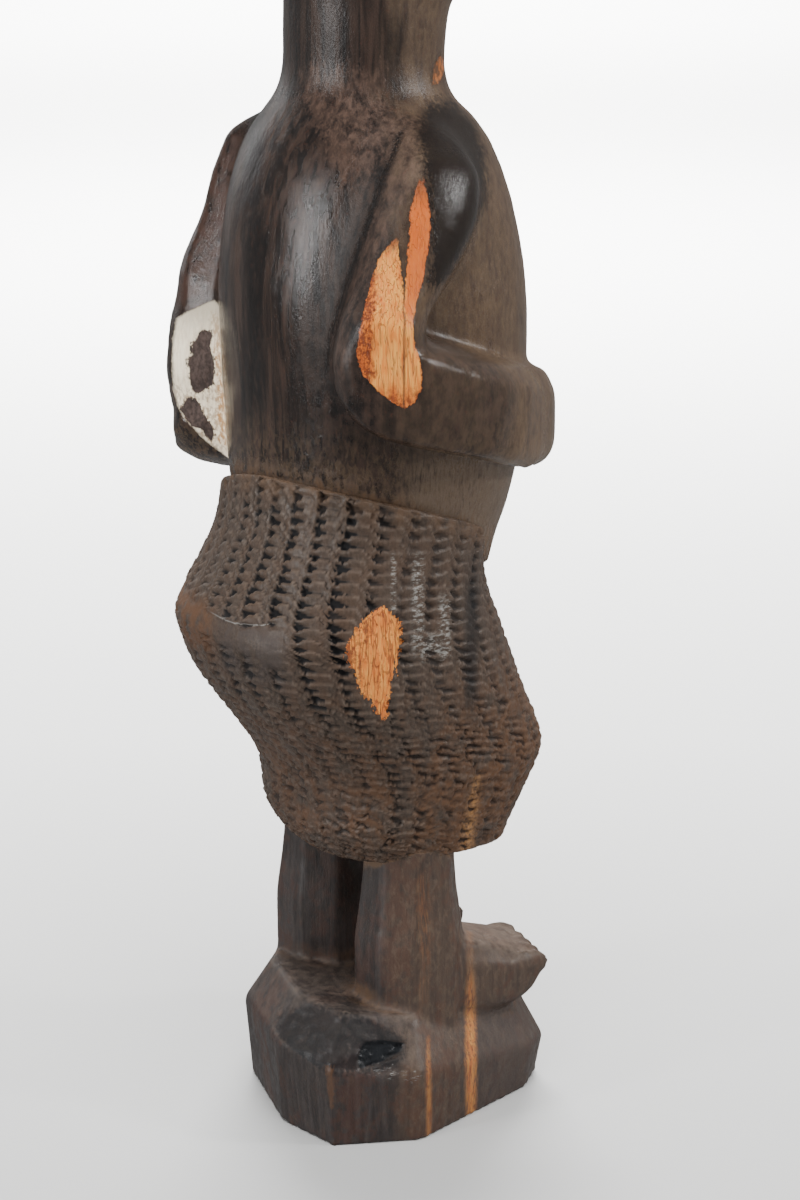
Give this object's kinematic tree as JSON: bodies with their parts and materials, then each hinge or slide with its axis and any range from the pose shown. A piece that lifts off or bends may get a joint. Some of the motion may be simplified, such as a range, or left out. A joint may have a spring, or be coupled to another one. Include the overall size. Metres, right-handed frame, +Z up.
{
  "type": "wooden figure",
  "caption": "Standing carved figure in dark ebony-like wood: hands on the belly, short chip-carved skirt, faceted legs, bare feet, an uneven raised base and orange sapwood on the right elbow.",
  "frame": {"origin": "middle of the bounding box on the floor, at the underside of the base", "axes": "+Z up along the figure; the figure faces -Y, its right side is at -X and its back at +Y"},
  "size_m": [0.114, 0.1022, 0.4],
  "materials": {
    "dark_wood": "near-black heartwood, satin polish on body and arms, matt chip-carved skirt, legs and base with brown dust, orange and cream sapwood on the elbows"
  },
  "bodies": {
    "root": {"figure": "dark_wood"}
  },
  "joints": []
}
